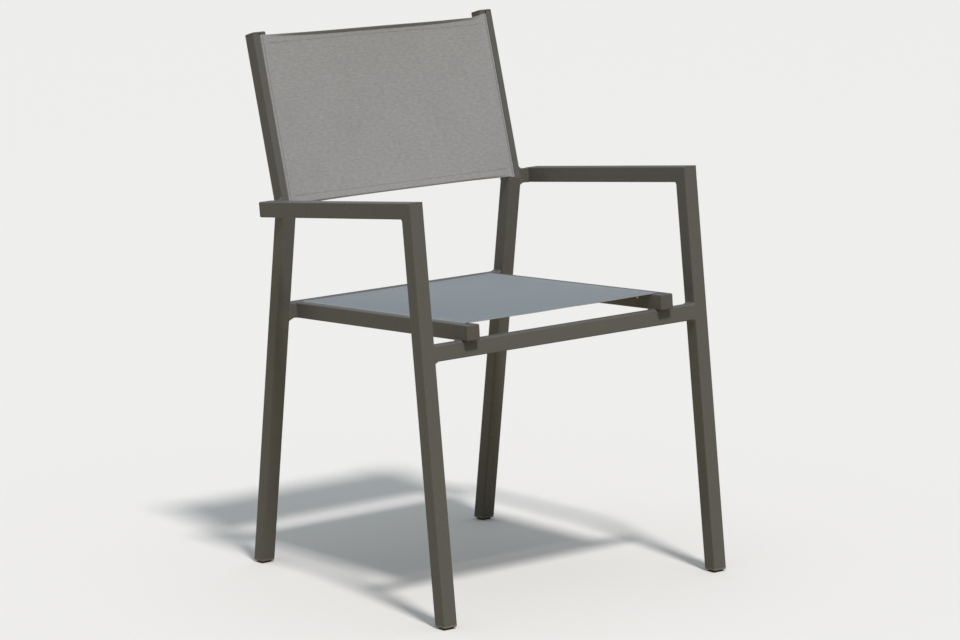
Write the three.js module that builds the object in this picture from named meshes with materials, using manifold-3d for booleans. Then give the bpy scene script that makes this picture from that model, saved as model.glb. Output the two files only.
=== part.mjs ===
// A stacking sling armchair: a welded frame of square aluminium tube with a back sling and a seat sling.
// Millimetres, +Z up, the chair faces -Y, X = 0 is its plane of symmetry and it stands on Z = 0.
// Left means the -X side.

import * as THREE from "three";
import { mergeVertices } from "three/addons/utils/BufferGeometryUtils.js";
import Module from "manifold-3d";

const wasm = await Module();
wasm.setup();

// Overall sizes.
const chairWidth = 562; // over the arms
const chairDepth = 600; // over the feet, at the floor
const chairHeight = 885; // to the front edge of the upright caps
const armHeight = 656; // floor to the front corner of an arm
const armLength = 423; // along the top of an arm, with its end cap
const armRise = 15.1; // the arm's rear upper edge above the knee
const armReach = 9.3; // and behind it
const armSetOut = 17; // between an arm and the upright beside it
const kneeHeight = 604; // floor to the bend between rear leg and upright
const railSetIn = 11; // between a seat rail and the rear leg beside it
const frontCrossbarHeight = 435.7; // floor to the top front edge of the front crossbar
const seatOverhang = 12; // how far the seat rails reach in front of the crossbar

// Leans, measured from the vertical towards the rear.
const degree = Math.PI / 180;
const frontLegLean = 4.5 * degree;
const uprightLean = 14 * degree;
const seatLean = 92.2 * degree;

// Tube stock.
const tubeSize = 25;
const tubeWall = 1.5;
const tubeCorner = 2; // outer corner radius
const innerCorner = 0.8; // corner radius inside the tube
const cornerSteps = 3;

// Sling rail: the same tube with a round channel near its middle for the sling's rod, open to the face
// through a slot.
const channelInset = 13; // channel axis from the rail's outer face
const channelDepth = 5; // channel axis below the rail's sling face
const channelRadius = 3.4;
const channelWall = 1.3;
const slotWidth = 2.4;
const channelSteps = 14;

// Clearances.
const seatGap = 0.3; // between pieces that touch
const plugGap = 0.3; // round a plug inside its tube
const rodGap = 0.3; // between a rod and its sleeve

// Slings.
const fabricThickness = 0.8;
const sleeveThickness = 0.55;
const sleeveRadius = 3.05; // outside of the fabric sleeve round a rod
const sleeveSteps = 12;
const backSlingInset = 2.5; // lower edge of the back sling above the knee
const backSlingTopInset = 2.4; // upper edge of the back sling below the end of the tube
const seatSlingFrontInset = 12; // front edge of the seat sling behind the end of the rail
const seatSlingRearInset = 1.5;
const backSag = 4; // at half height, behind the uprights' front faces
const backEdgeSag = 1.5;
const seatSag = 9; // at mid-seat, below the rails' top faces
const seatEdgeSag = 3;
const backHollow = 5; // how far the middle of each free edge is drawn in
const seatHollow = 8;
const slingColumns = 12;
const slingRows = 8;
const rodOverhang = 2; // rod beyond the fabric at the lower end of an upright

// Caps, feet and small pieces.
const capThickness = 2.5;
const capBevel = 1.8; // radius of its edges
const plugLength = 14;
const glideThickness = 4; // of a foot glide's flange
const glideBevel = 2; // radius of its lower edges
const padSize = 18; // sole pad under a glide
const padCorner = 3;
const padHeight = 2.5;
const pegRadius = 3; // holds the pad in the glide
const pegLength = 7;
const spacerDepth = 5;
const spacerHeight = 24;
const screwHeadRadius = 3;
const screwHeadHeight = 1.8;
const screwShankRadius = 1.5;
const screwSetback = 58; // lock screw behind the rail's front end
const screwDepth = 6.5; // and below its sling face
const roundSides = 20;
const cutOverrun = 2;
const mergeTolerance = 0.0001;

// Finishes.
const frameFinish = { color: 0x5e5953, roughness: 0.48, metalness: 0.35 };
const capFinish = { color: 0x55514c, roughness: 0.6, metalness: 0 };
const padFinish = { color: 0x26241f, roughness: 0.8, metalness: 0 };
const fabricFinish = { color: 0x8e8f8e, roughness: 0.85, metalness: 0 };
const rodFinish = { color: 0x3b3a38, roughness: 0.6, metalness: 0 };
const screwFinish = { color: 0xb4b4b0, roughness: 0.35, metalness: 0.9 };

const half = tubeSize / 2;
const chair = new THREE.Group();

function addMesh(parent, name, geometry, finish) {
  const mesh = new THREE.Mesh(geometry, new THREE.MeshStandardMaterial(finish));
  mesh.name = name;
  parent.add(mesh);
  return mesh;
}

// Points of an arc round (x, y), both ends included.
function arc(x, y, radius, start, end, steps) {
  const points = [];
  for (let i = 0; i <= steps; i++) {
    const angle = start + ((end - start) * i) / steps;
    points.push(new THREE.Vector2(x + radius * Math.cos(angle), y + radius * Math.sin(angle)));
  }
  return points;
}

// A square outline with round corners, centred on the tube's axis.
function squareOutline(size, corner) {
  const reach = size / 2 - corner;
  const quarters = [[1, 1], [-1, 1], [-1, -1], [1, -1]];
  return quarters.flatMap(([x, y], i) =>
    arc(x * reach, y * reach, corner, (i * Math.PI) / 2, ((i + 1) * Math.PI) / 2, cornerSteps));
}

// Extrudes an outline along +Z. Each end may be cut on a slant: the cut's height is start + y * slope.
function prism(outline, holes, start, end, startSlope = 0, endSlope = 0, steps = 1) {
  const shape = new THREE.Shape(outline);
  shape.holes = holes.map((points) => new THREE.Path(points));
  const geometry = new THREE.ExtrudeGeometry(shape, { depth: 1, steps, bevelEnabled: false });
  const place = geometry.attributes.position;
  for (let i = 0; i < place.count; i++) {
    const low = start + place.getY(i) * startSlope;
    const high = end + place.getY(i) * endSlope;
    place.setZ(i, low + (high - low) * place.getZ(i));
  }
  geometry.computeVertexNormals();
  return geometry;
}

function toSolid(geometry) {
  const plain = geometry.clone();
  plain.deleteAttribute("normal");
  plain.deleteAttribute("uv");
  const merged = mergeVertices(plain, mergeTolerance);
  const vertProperties = new Float32Array(merged.attributes.position.array);
  const triVerts = new Uint32Array(merged.index.array);
  return new wasm.Manifold(new wasm.Mesh({ numProp: 3, vertProperties, triVerts }));
}

function toGeometry(solid) {
  const mesh = solid.getMesh();
  const geometry = new THREE.BufferGeometry();
  geometry.setAttribute("position", new THREE.BufferAttribute(new Float32Array(mesh.vertProperties), 3));
  geometry.setIndex(new THREE.BufferAttribute(new Uint32Array(mesh.triVerts), 1));
  geometry.computeVertexNormals();
  return geometry;
}

// The side view. A member runs from a point on its front or upper face line, at its lean.
// Its local +Z is its length, local +Y points to its rear or under side, local +X is the chair's +X.
function memberGroup(origin, lean) {
  const group = new THREE.Group();
  group.position.set(0, origin.y, origin.z);
  group.rotation.x = -lean;
  chair.add(group);
  return group;
}

function along(origin, lean, length, depth = 0) {
  return {
    y: origin.y + length * Math.sin(lean) + depth * Math.cos(lean),
    z: origin.z + length * Math.cos(lean) - depth * Math.sin(lean),
  };
}

// Distance along one member's face line to where it meets another's.
function meet(origin, lean, otherOrigin, otherLean) {
  const dy = otherOrigin.y - origin.y;
  const dz = otherOrigin.z - origin.z;
  const turn = Math.sin(lean) * Math.cos(otherLean) - Math.cos(lean) * Math.sin(otherLean);
  return (dy * Math.cos(otherLean) - dz * Math.sin(otherLean)) / turn;
}

const sides = [{ word: "left", sign: -1 }, { word: "right", sign: 1 }];

// Widths over the rear legs and uprights, and over the seat rails.
const rearFrameWidth = chairWidth - 2 * (tubeSize + armSetOut);
const seatFrameWidth = rearFrameWidth - 2 * (tubeSize + railSetIn);

// Corners of the side view, on the front and upper face lines.
const frontLegLength = armHeight / Math.cos(frontLegLean);
const frontFoot = { y: -chairDepth / 2, z: 0 };
const armCorner = along(frontFoot, frontLegLean, frontLegLength);
const armLean = Math.PI / 2 + Math.asin((armHeight - kneeHeight - armRise) / armLength);
const knee = { y: along(armCorner, armLean, armLength).y - armReach, z: kneeHeight };

// The rear leg's front face meets the knee and its rear face ends at the chair's rear edge on the floor.
const rearRun = chairDepth / 2 - knee.y;
const rearLegLean = Math.atan2(kneeHeight, rearRun) - Math.acos(tubeSize / Math.hypot(rearRun, kneeHeight));
const rearFoot = { y: chairDepth / 2 - tubeSize / Math.cos(rearLegLean), z: 0 };
const rearLegLength = kneeHeight / Math.cos(rearLegLean);
const uprightLength = (chairHeight - kneeHeight) / Math.cos(uprightLean);
const armMitre = Math.tan((armLean - frontLegLean) / 2);
const kneeMitre = Math.tan((uprightLean - rearLegLean) / 2);
const armMitreGap = seatGap / 2 / Math.cos((armLean - frontLegLean) / 2);
const kneeMitreGap = seatGap / 2 / Math.cos((uprightLean - rearLegLean) / 2);

const tubeOutline = squareOutline(tubeSize, tubeCorner);
const tubeBore = squareOutline(tubeSize - 2 * tubeWall, innerCorner);

// In a member's group the face line is y = 0, so the tube's axis is half a tube behind it.
function placeTube(parent, name, x, geometry, finish = frameFinish) {
  const mesh = addMesh(parent, name, geometry, finish);
  mesh.position.set(x, half, 0);
  return mesh;
}

// A flange that fills the tube's outline from start to end and has its far edges rounded.
function flangeGeometry(start, end, radius) {
  const rings = cornerSteps + 1;
  const geometry = prism(squareOutline(tubeSize, tubeCorner), [], 0, rings, 0, 0, rings);
  const place = geometry.attributes.position;
  for (let i = 0; i < place.count; i++) {
    const ring = Math.round(place.getZ(i));
    const angle = (Math.max(0, ring - 1) / cornerSteps) * (Math.PI / 2);
    const share = 1 - (2 * radius * (1 - Math.cos(angle))) / tubeSize;
    const height = ring === 0 ? start : end - radius + radius * Math.sin(angle);
    place.setXYZ(i, place.getX(i) * share, place.getY(i) * share, height);
  }
  return geometry;
}

// A plug whose flange closes a tube's end at the given length.
function capGeometry(plugOutline, end, thickness = capThickness, radius = capBevel) {
  const flange = end - thickness;
  const head = toSolid(flangeGeometry(flange, end, radius));
  const stem = toSolid(prism(plugOutline, [], flange - plugLength, flange + thickness / 2));
  return toGeometry(head.add(stem));
}

function pegSolid(radius, start, end) {
  const peg = new THREE.CylinderGeometry(radius, radius, end - start, roundSides);
  peg.rotateX(Math.PI / 2);
  peg.translate(0, 0, (start + end) / 2);
  return toSolid(peg);
}

// Turns heights above the floor into lengths along a leg, so that level faces stay level on a leaning leg.
function level(geometry, lean) {
  const place = geometry.attributes.position;
  for (let i = 0; i < place.count; i++) {
    const rise = place.getZ(i) / Math.cos(lean);
    place.setZ(i, rise + (half + place.getY(i)) * Math.tan(lean));
  }
  geometry.computeVertexNormals();
  return geometry;
}

const squarePlug = squareOutline(tubeSize - 2 * tubeWall - 2 * plugGap, innerCorner);
const glideStart = padHeight + seatGap;
const legStart = glideStart + glideThickness + seatGap;

// A foot: a glide that plugs the leg, with a soft pad pegged into its underside.
function addFoot(parent, row, side, x, lean) {
  const plug = toSolid(capGeometry(squarePlug, 0, glideThickness, glideBevel).rotateY(Math.PI));
  const bore = pegSolid(pegRadius + plugGap, -cutOverrun, pegLength + plugGap);
  const glide = toGeometry(plug.subtract(bore)).translate(0, 0, glideStart);
  placeTube(parent, `${row}_foot_glide_${side}`, x, level(glide, lean), capFinish);
  const sole = toSolid(prism(squareOutline(padSize, padCorner), [], 0, padHeight));
  const pad = toGeometry(sole.add(pegSolid(pegRadius, padHeight / 2, glideStart + pegLength)));
  placeTube(parent, `${row}_foot_pad_${side}`, x, level(pad, lean), padFinish);
}

function footCut(lean) {
  return half * Math.tan(lean) + legStart / Math.cos(lean);
}

// Front legs and arms, mitred at their shared corner.
const armX = chairWidth / 2 - half;
const frontLegs = memberGroup(frontFoot, frontLegLean);
const arms = memberGroup(armCorner, armLean);
for (const side of sides) {
  const x = side.sign * armX;
  placeTube(frontLegs, `front_leg_${side.word}`, x, prism(tubeOutline, [tubeBore], footCut(frontLegLean),
    frontLegLength - half * armMitre - armMitreGap, Math.tan(frontLegLean), -armMitre));
  addFoot(frontLegs, "front", side.word, x, frontLegLean);
  placeTube(arms, `arm_${side.word}`, x, prism(tubeOutline, [tubeBore], half * armMitre + armMitreGap,
    armLength - capThickness - seatGap, armMitre, 0));
  placeTube(arms, `arm_end_cap_${side.word}`, x, capGeometry(squarePlug, armLength), capFinish);
}

// Rear legs, mitred to the uprights at the knee.
const rearX = rearFrameWidth / 2 - half;
const rearLegs = memberGroup(rearFoot, rearLegLean);
for (const side of sides) {
  const x = side.sign * rearX;
  placeTube(rearLegs, `rear_leg_${side.word}`, x, prism(tubeOutline, [tubeBore], footCut(rearLegLean),
    rearLegLength - half * kneeMitre - kneeMitreGap, Math.tan(rearLegLean), -kneeMitre));
  addFoot(rearLegs, "rear", side.word, x, rearLegLean);
}

// Sling rail section. Across runs inwards from the rail's outer face, depth from its sling face.
function railPoint(sign, across, depth) {
  return new THREE.Vector2(sign * (half - across), depth - half);
}

// Mirroring turns an outline round, so the right side is read backwards.
function orient(points, sign) {
  return sign > 0 ? points.reverse() : points;
}

function railOutline(sign) {
  const reach = tubeSize - tubeCorner;
  const slotHalf = slotWidth / 2;
  const mouth = Math.asin(slotHalf / channelRadius);
  const channel = arc(channelInset, channelDepth, channelRadius,
    -Math.PI / 2 - mouth, -Math.PI / 2 + mouth - 2 * Math.PI, channelSteps);
  const points = [
    ...arc(tubeCorner, tubeCorner, tubeCorner, Math.PI, 1.5 * Math.PI, cornerSteps),
    new THREE.Vector2(channelInset - slotHalf, 0),
    ...channel,
    new THREE.Vector2(channelInset + slotHalf, 0),
    ...arc(reach, tubeCorner, tubeCorner, 1.5 * Math.PI, 2 * Math.PI, cornerSteps),
    ...arc(reach, reach, tubeCorner, 0, Math.PI / 2, cornerSteps),
    ...arc(tubeCorner, reach, tubeCorner, Math.PI / 2, Math.PI, cornerSteps),
  ];
  return orient(points.map((p) => railPoint(sign, p.x, p.y)), sign);
}

// The rail's hollow, a U round the channel's walls, drawn in by the given gap.
function railHollow(sign, gap) {
  const low = tubeWall + gap;
  const high = tubeSize - tubeWall - gap;
  const reach = channelRadius + channelWall + gap;
  const outer = channelInset - reach;
  const inner = channelInset + reach;
  const below = channelDepth + reach;
  const corners = [[low, low], [outer, low], [outer, below], [inner, below],
    [inner, low], [high, low], [high, high], [low, high]];
  return orient(corners.map(([across, depth]) => railPoint(sign, across, depth)), sign);
}

// Uprights with their caps.
const uprights = memberGroup(knee, uprightLean);
const uprightEnd = uprightLength - capThickness - seatGap;
for (const side of sides) {
  const x = side.sign * rearX;
  const rail = prism(railOutline(side.sign), [railHollow(side.sign, 0)],
    half * kneeMitre + kneeMitreGap, uprightEnd, kneeMitre, 0);
  placeTube(uprights, `back_upright_${side.word}`, x, rail);
  const cap = capGeometry(railHollow(side.sign, plugGap), uprightLength);
  placeTube(uprights, `upright_cap_${side.word}`, x, cap, capFinish);
}

// Spacer blocks between the arms' inner faces and the outer faces of the knees.
const armEnd = along(armCorner, armLean, armLength, half);
const spacerWidth = armSetOut - 2 * seatGap;
for (const side of sides) {
  const block = addMesh(chair, `arm_spacer_${side.word}`,
    new THREE.BoxGeometry(spacerWidth, spacerDepth, spacerHeight), frameFinish);
  block.position.set(side.sign * (rearFrameWidth / 2 + seatGap + spacerWidth / 2),
    armEnd.y - spacerDepth / 2, armEnd.z);
}

// Front crossbar, flush with the front legs.
const crossbarTop = frontCrossbarHeight / Math.cos(frontLegLean);
const frontSpan = chairWidth - 2 * tubeSize - 2 * seatGap;
const frontCrossbar = placeTube(frontLegs, "front_crossbar", 0,
  prism(tubeOutline, [tubeBore], -frontSpan / 2, frontSpan / 2).rotateY(Math.PI / 2));
frontCrossbar.position.z = crossbarTop - half;

// Seat rails. They lie on the crossbar's front edge and end at the rear crossbar.
const crossbarEdge = along(frontFoot, frontLegLean, crossbarTop);
const seatOrigin = along(crossbarEdge, seatLean, -seatOverhang, -tubeSize - seatGap);
const seat = memberGroup(seatOrigin, seatLean);
const seatX = seatFrameWidth / 2 - half;
const rearBarStart = meet(along(seatOrigin, seatLean, 0, half), seatLean, rearFoot, rearLegLean);
const railStart = capThickness + seatGap;
const railEnd = rearBarStart - seatGap;

function lockScrewPlace(sign) {
  return new THREE.Vector3(sign * -half, screwDepth - half, screwSetback);
}

function screwCylinder(radius, sign, start, end) {
  const cylinder = new THREE.CylinderGeometry(radius, radius, end - start, roundSides);
  cylinder.rotateZ(Math.PI / 2);
  const place = lockScrewPlace(sign);
  cylinder.translate(place.x - (sign * (start + end)) / 2, place.y, place.z);
  return toSolid(cylinder);
}

for (const side of sides) {
  const x = side.sign * seatX;
  const shankLength = tubeSize - channelInset - channelRadius;
  const blank = toSolid(prism(railOutline(side.sign), [railHollow(side.sign, 0)], railStart, railEnd));
  const drill = screwCylinder(screwShankRadius + plugGap, side.sign, -shankLength - cutOverrun, cutOverrun);
  placeTube(seat, `seat_rail_${side.word}`, x, toGeometry(blank.subtract(drill)));
  // The cap is made for a far end, and half a turn about its upright axis brings it to the front end.
  const cap = capGeometry(railHollow(-side.sign, plugGap), 0).rotateY(Math.PI);
  placeTube(seat, `seat_rail_cap_${side.word}`, x, cap, capFinish);
  const head = screwCylinder(screwHeadRadius, side.sign, seatGap, seatGap + screwHeadHeight);
  const shank = screwCylinder(screwShankRadius, side.sign, -shankLength, seatGap + screwHeadHeight / 2);
  placeTube(seat, `sling_lock_screw_${side.word}`, x, toGeometry(head.add(shank)), screwFinish);
}

const rearSpan = rearFrameWidth - 2 * tubeSize - 2 * seatGap;
const rearCrossbar = placeTube(seat, "rear_crossbar", 0,
  prism(tubeOutline, [tubeBore], -rearSpan / 2, rearSpan / 2).rotateY(Math.PI / 2));
rearCrossbar.position.z = rearBarStart + half;

// Section of a sling: a sheet with a sleeve round a rod at each side.
// x is the chair's, y is the depth below the sling face of the rails.
function slingSection(frameWidth) {
  const axis = frameWidth / 2 - channelInset;
  const top = -seatGap - fabricThickness;
  const under = -seatGap;
  const neck = Math.asin(sleeveThickness / sleeveRadius);
  const ring = arc(axis, channelDepth, sleeveRadius,
    -Math.PI / 2 + neck, -Math.PI / 2 - neck + 2 * Math.PI, sleeveSteps);
  const rightSide = [
    new THREE.Vector2(axis + sleeveThickness, top),
    ...ring,
    new THREE.Vector2(axis - sleeveThickness, under),
  ];
  const lip = frameWidth / 2 - tubeSize;
  const sheet = (y) => Array.from({ length: slingColumns + 1 }, (_, i) =>
    new THREE.Vector2(lip * (1 - (2 * i) / slingColumns), y));
  const leftSide = rightSide.map((p) => new THREE.Vector2(-p.x, p.y)).reverse();
  const outline = [...rightSide, ...sheet(under), ...leftSide, ...sheet(top).reverse()];
  const holes = [-1, 1].map((sign) =>
    arc(sign * axis, channelDepth, sleeveRadius - sleeveThickness, 0, 2 * Math.PI, sleeveSteps).slice(0, -1));
  return { outline, holes, axis, lip };
}

// A sling between two lengths along its rails. Its middle sags and its free edges are drawn in.
function slingGeometry(frameWidth, start, end, sag, edgeSag, hollow) {
  const { outline, holes, axis, lip } = slingSection(frameWidth);
  const geometry = prism(outline, holes, start, end, 0, 0, slingRows);
  const place = geometry.attributes.position;
  const middle = (start + end) / 2;
  const reach = (end - start) / 2;
  for (let i = 0; i < place.count; i++) {
    const x = place.getX(i);
    const share = (place.getZ(i) - middle) / reach;
    const bow = Math.max(0, 1 - (x / lip) ** 2);
    const draw = Math.max(0, 1 - (x / axis) ** 2);
    place.setY(i, place.getY(i) + bow * (edgeSag + (sag - edgeSag) * (1 - share ** 2)));
    place.setZ(i, middle + share * (reach - hollow * draw));
  }
  geometry.computeVertexNormals();
  return geometry;
}

function rodGeometry(start, end) {
  const radius = sleeveRadius - sleeveThickness - rodGap;
  const rod = new THREE.CylinderGeometry(radius, radius, end - start, sleeveSteps);
  rod.rotateX(Math.PI / 2);
  rod.translate(0, channelDepth, (start + end) / 2);
  return rod;
}

// A sling with its two rods in the group of the rails that hold it.
function addSling(parent, name, frameWidth, start, end, rodStart, shape) {
  addMesh(parent, `${name}_sling`,
    slingGeometry(frameWidth, start, end, shape.sag, shape.edgeSag, shape.hollow), fabricFinish);
  for (const side of sides) {
    const rod = addMesh(parent, `${name}_sling_rod_${side.word}`, rodGeometry(rodStart, end), rodFinish);
    rod.position.x = side.sign * (frameWidth / 2 - channelInset);
  }
}

const mitreAtChannel = (channelDepth + sleeveRadius) * kneeMitre + kneeMitreGap + seatGap;
const backStart = Math.max(backSlingInset, mitreAtChannel);
addSling(uprights, "back", rearFrameWidth, backStart + rodOverhang, uprightEnd - backSlingTopInset, backStart,
  { sag: backSag, edgeSag: backEdgeSag, hollow: backHollow });
addSling(seat, "seat", seatFrameWidth, seatSlingFrontInset, railEnd - seatSlingRearInset, seatSlingFrontInset,
  { sag: seatSag, edgeSag: seatEdgeSag, hollow: seatHollow });

export default chair;
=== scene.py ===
import math

import bmesh
import bpy
from mathutils import Matrix, Vector


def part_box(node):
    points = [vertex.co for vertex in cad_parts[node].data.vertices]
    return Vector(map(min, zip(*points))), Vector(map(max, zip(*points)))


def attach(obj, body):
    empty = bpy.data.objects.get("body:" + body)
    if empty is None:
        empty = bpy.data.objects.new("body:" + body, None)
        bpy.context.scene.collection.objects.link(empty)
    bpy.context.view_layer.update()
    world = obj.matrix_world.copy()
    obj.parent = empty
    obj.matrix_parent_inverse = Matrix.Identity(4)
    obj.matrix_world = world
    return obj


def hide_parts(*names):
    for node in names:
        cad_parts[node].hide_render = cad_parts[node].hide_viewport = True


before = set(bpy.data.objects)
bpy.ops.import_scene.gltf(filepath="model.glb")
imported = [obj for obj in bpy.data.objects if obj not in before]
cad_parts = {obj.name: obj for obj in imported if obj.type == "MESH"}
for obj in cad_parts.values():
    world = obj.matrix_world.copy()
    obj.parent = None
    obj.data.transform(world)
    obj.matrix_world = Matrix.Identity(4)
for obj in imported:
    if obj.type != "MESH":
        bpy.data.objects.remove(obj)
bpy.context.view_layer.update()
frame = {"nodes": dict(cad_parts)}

bl_info = {
    "name": "Sling Patio Chair",
    "version": (1, 0, 0),
    "blender": (4, 5, 0),
    "location": "View3D > Sidebar > Sling Chair",
    "description": "Dresses the stacking sling armchair: powder coat, welds, woven slings, stitching "
                   "and a studio",
    "category": "Object",
}

MM = 0.001
SIDES = (("left", -1), ("right", 1))
RIGHT = Vector((1, 0, 0))
UP = Vector((0, 0, 1))
FORE = Vector((0, -1, 0))
TUBE_SIZE = 25 * MM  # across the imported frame's square tubes
TUBE_CORNER = 2 * MM  # radius of their round corners
SHARP = 40  # degrees: edges that bend more than this stay sharp


def srgb(code):
    """Turns an sRGB hex colour into the linear colour that Blender works in."""
    parts = [int(code[i:i + 2], 16) / 255 for i in (0, 2, 4)]
    return [p / 12.92 if p <= 0.04045 else ((p + 0.055) / 1.055) ** 2.4 for p in parts] + [1.0]


def size(name, description, millimetres):
    """A length property whose default is given in millimetres."""
    return bpy.props.FloatProperty(name=name, description=description, default=millimetres * MM,
                                   min=0.0, precision=5, subtype="DISTANCE", unit="LENGTH")


def angle(name, description, degrees):
    """An angle property whose default is given in degrees."""
    return bpy.props.FloatProperty(name=name, description=description, default=math.radians(degrees),
                                   precision=4, subtype="ANGLE", unit="ROTATION")


def amount(name, description, default, high=1.0):
    """A plain number from 0 to high."""
    return bpy.props.FloatProperty(name=name, description=description, default=default, min=0.0,
                                   max=high, precision=3)


def colour(name, description, code):
    """A colour property whose default is given as sRGB hex."""
    return bpy.props.FloatVectorProperty(name=name, description=description, default=srgb(code), size=4,
                                         min=0.0, max=1.0, subtype="COLOR")


def vector(name, description, values, subtype="NONE", unit="NONE"):
    """A property of two or three numbers."""
    return bpy.props.FloatVectorProperty(name=name, description=description, default=values,
                                         size=len(values), subtype=subtype, unit=unit)


class FrameSettings(bpy.types.PropertyGroup):
    """Finish of the welded tube frame, its caps and its feet."""
    coat: colour("Coat", "Powder coat on the tubes", "65625C")
    coat_roughness: amount("Coat roughness", "Satin gloss of the powder coat", 0.3)
    coat_shine: amount("Coat shine", "Specular level of the powder coat", 0.25)
    peel: size("Orange peel", "Spacing of the coat's soft ripples", 2.4)
    plastic: colour("Caps", "Moulded end caps", "605C54")
    glide: colour("Glides", "Moulded foot glides", "7C776F")
    rubber: colour("Pads", "Sole pads under the glides", "1B1916")
    grain: size("Mould grain", "Spacing of the moulded parts' spark grain", 1.2)
    weld_leg: size("Weld leg", "Reach of a weld fillet on each tube", 3.2)
    weld_flush: size("Flush weld", "Height of a dressed weld above the tube's face", 0.1)
    weld_ripple: size("Weld ripple", "Spacing of the ripples along a weld", 2.2)
    screw: colour("Screws", "Stainless steel of the lock screws", "C8C7C3")


class SlingSettings(bpy.types.PropertyGroup):
    """Cloth of the two slings."""
    thickness: size("Cloth", "Thickness of one layer of cloth", 0.55)
    hem: size("Hem", "Width of the fold along each free edge", 16)
    fold: size("Side fold", "Reach of the folded side sleeve past its rod", 10)
    seam: size("Side seam", "Distance of the side seam from the rod", 3.7)
    curl: size("Curl", "Height of the strip that rolls forward along the back's upper edge", 4.0)
    curl_angle: angle("Curl angle", "How far that strip rolls at the middle of the edge", 72)
    tuck: size("Tuck", "Height of the strip that rolls under along the back's lower edge", 3.2)
    tab: size("Tab", "How far the side sleeves reach below the back's lower edge", 2)
    stitch: size("Stitch", "Length of one stitch", 3.4)
    stitch_gap: size("Stitch gap", "Gap between two stitches", 0.9)
    thread: size("Thread", "Thickness of the sewing thread", 0.55)
    seat_inset: size("Seat inset", "How far the seat's front hem is set back from the rods' ends", 11)
    back_sag: size("Back's sag", "How far the back's middle gives to the rear", 4)
    seat_sag: size("Seat's sag", "How far the seat's middle hangs below its rails", 6)
    edge_sag: size("Edge sag", "How far the middle of a free edge hangs", 0.4)
    draw_in: size("Draw-in", "How far the middle of the back's upper edge is drawn in", 2.8)
    ripple: size("Slackness", "Height of the soft waves in the cloth", 0.35)
    yarn: size("Yarn spacing", "Distance between the yarns as drawn", 2.0)
    slub: size("Slub length", "Length of the heathered flecks along the yarn", 9)
    light: colour("Light yarn", "Lightest yarn of the heather", "ACA9A8")
    mid: colour("Mid yarn", "Main yarn colour", "A29F9E")
    dark: colour("Dark yarn", "Darkest yarn of the heather", "979493")
    sewing: colour("Thread colour", "Sewing thread", "8A8785")
    rod: colour("Rods", "Plastic rods in the sleeves", "3B3A38")


class StageSettings(bpy.types.PropertyGroup):
    """Camera, lamps and floor."""
    place: vector("Camera place", "Where the camera stands", (-3.5654, -4.9379, 1.4560), "TRANSLATION",
                  "LENGTH")
    yaw: angle("Yaw", "Camera's turn to the right of the +Y axis", 35.921)
    pitch: angle("Pitch", "Camera's tilt above the horizon", -9.155)
    roll: angle("Roll", "Camera's roll", -1.964)
    lens: bpy.props.FloatProperty(name="Lens", description="Focal length on a 36 mm wide sensor",
                                  default=143.27, min=1.0, subtype="DISTANCE_CAMERA", unit="CAMERA")
    shift: vector("Shift", "Lens shift across and up", (0.0078, -0.0402))
    key_from: vector("Key from", "Direction that the key light comes from", (-0.134, -0.59, 1.0),
                     "DIRECTION")
    key: amount("Key", "Strength of the key light", 2.15, high=20.0)
    softness: angle("Softness", "Width of the key light as seen from the chair", 7)
    fill: amount("Fill", "Strength of the soft light from overhead", 0.66, high=5.0)
    side_fill: amount("Side fill", "Strength of the soft light from the sides", 0.1, high=5.0)
    fill_tint: colour("Fill tint", "Colour of the soft light", "E7F4FC")
    floor: colour("Floor", "Pale studio floor", "F1EBE6")
    backdrop: colour("Backdrop", "What is seen past the floor's edge", "EDEDEB")
    floor_bounce: colour("Floor bounce", "Floor colour that lights the chair from below", "B9AD94")


def chair():
    """The chair's settings, which the scene holds."""
    return bpy.context.scene.sling_chair


# Materials

def add(tree, kind, inputs=None, **settings):
    """Adds a node with its settings. An input given a socket is linked and any other is set."""
    node = tree.nodes.new("ShaderNode" + kind)
    for key, value in settings.items():
        setattr(node, key, value)
    for key, value in (inputs or {}).items():
        if isinstance(value, bpy.types.NodeSocket):
            tree.links.new(value, node.inputs[key])
        else:
            node.inputs[key].default_value = value
    return node


def noise(tree, place, spacing, detail, roughness=0.5):
    """A noise from 0 to 1 whose forms lie a spacing apart."""
    return add(tree, "TexNoise", {"Vector": place, "Scale": 1 / spacing, "Detail": detail,
                                  "Roughness": roughness}).outputs["Fac"]


def drawn_out_noise(tree, place, spacings, detail, roughness=0.5):
    """A noise with a spacing of its own along each axis."""
    scale = [1 / spacing for spacing in spacings]
    place = add(tree, "Mapping", {"Vector": place, "Scale": scale}).outputs[0]
    return noise(tree, place, 1.0, detail, roughness)


def spread(tree, value, low, high, to_low=0.0, to_high=1.0):
    """Maps the values from low to high to a new range, and holds the others at its ends."""
    return add(tree, "MapRange", {"Value": value, "From Min": low, "From Max": high,
                                  "To Min": to_low, "To Max": to_high}).outputs[0]


def blend(tree, share, first, second):
    """The colour that lies a share of the way from the first to the second."""
    return add(tree, "Mix", {0: share, 6: first, 7: second}, data_type="RGBA").outputs[2]


def maths(tree, operation, *values):
    """The result of one operation on one or two values."""
    return add(tree, "Math", dict(enumerate(values)), operation=operation).outputs[0]


def relief(tree, height, millimetres, strength=0.3):
    """The normal of a surface whose height varies by some millimetres."""
    return add(tree, "Bump", {"Strength": strength, "Distance": millimetres * MM,
                              "Height": height}).outputs[0]


def tint(shade, factor):
    """A colour made lighter or darker by a factor."""
    return [min(1.0, part * factor) for part in shade[:3]] + [1.0]


def mottled(tree, share, shade, low, high):
    """A colour that varies between a darker and a lighter tint of itself."""
    return blend(tree, share, tint(shade, low), tint(shade, high))


def object_place(tree):
    """A point's place on its own object, in metres."""
    return add(tree, "TexCoord").outputs["Object"]


# Each of these functions fills a material's tree and gives the settings of its shader.

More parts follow.
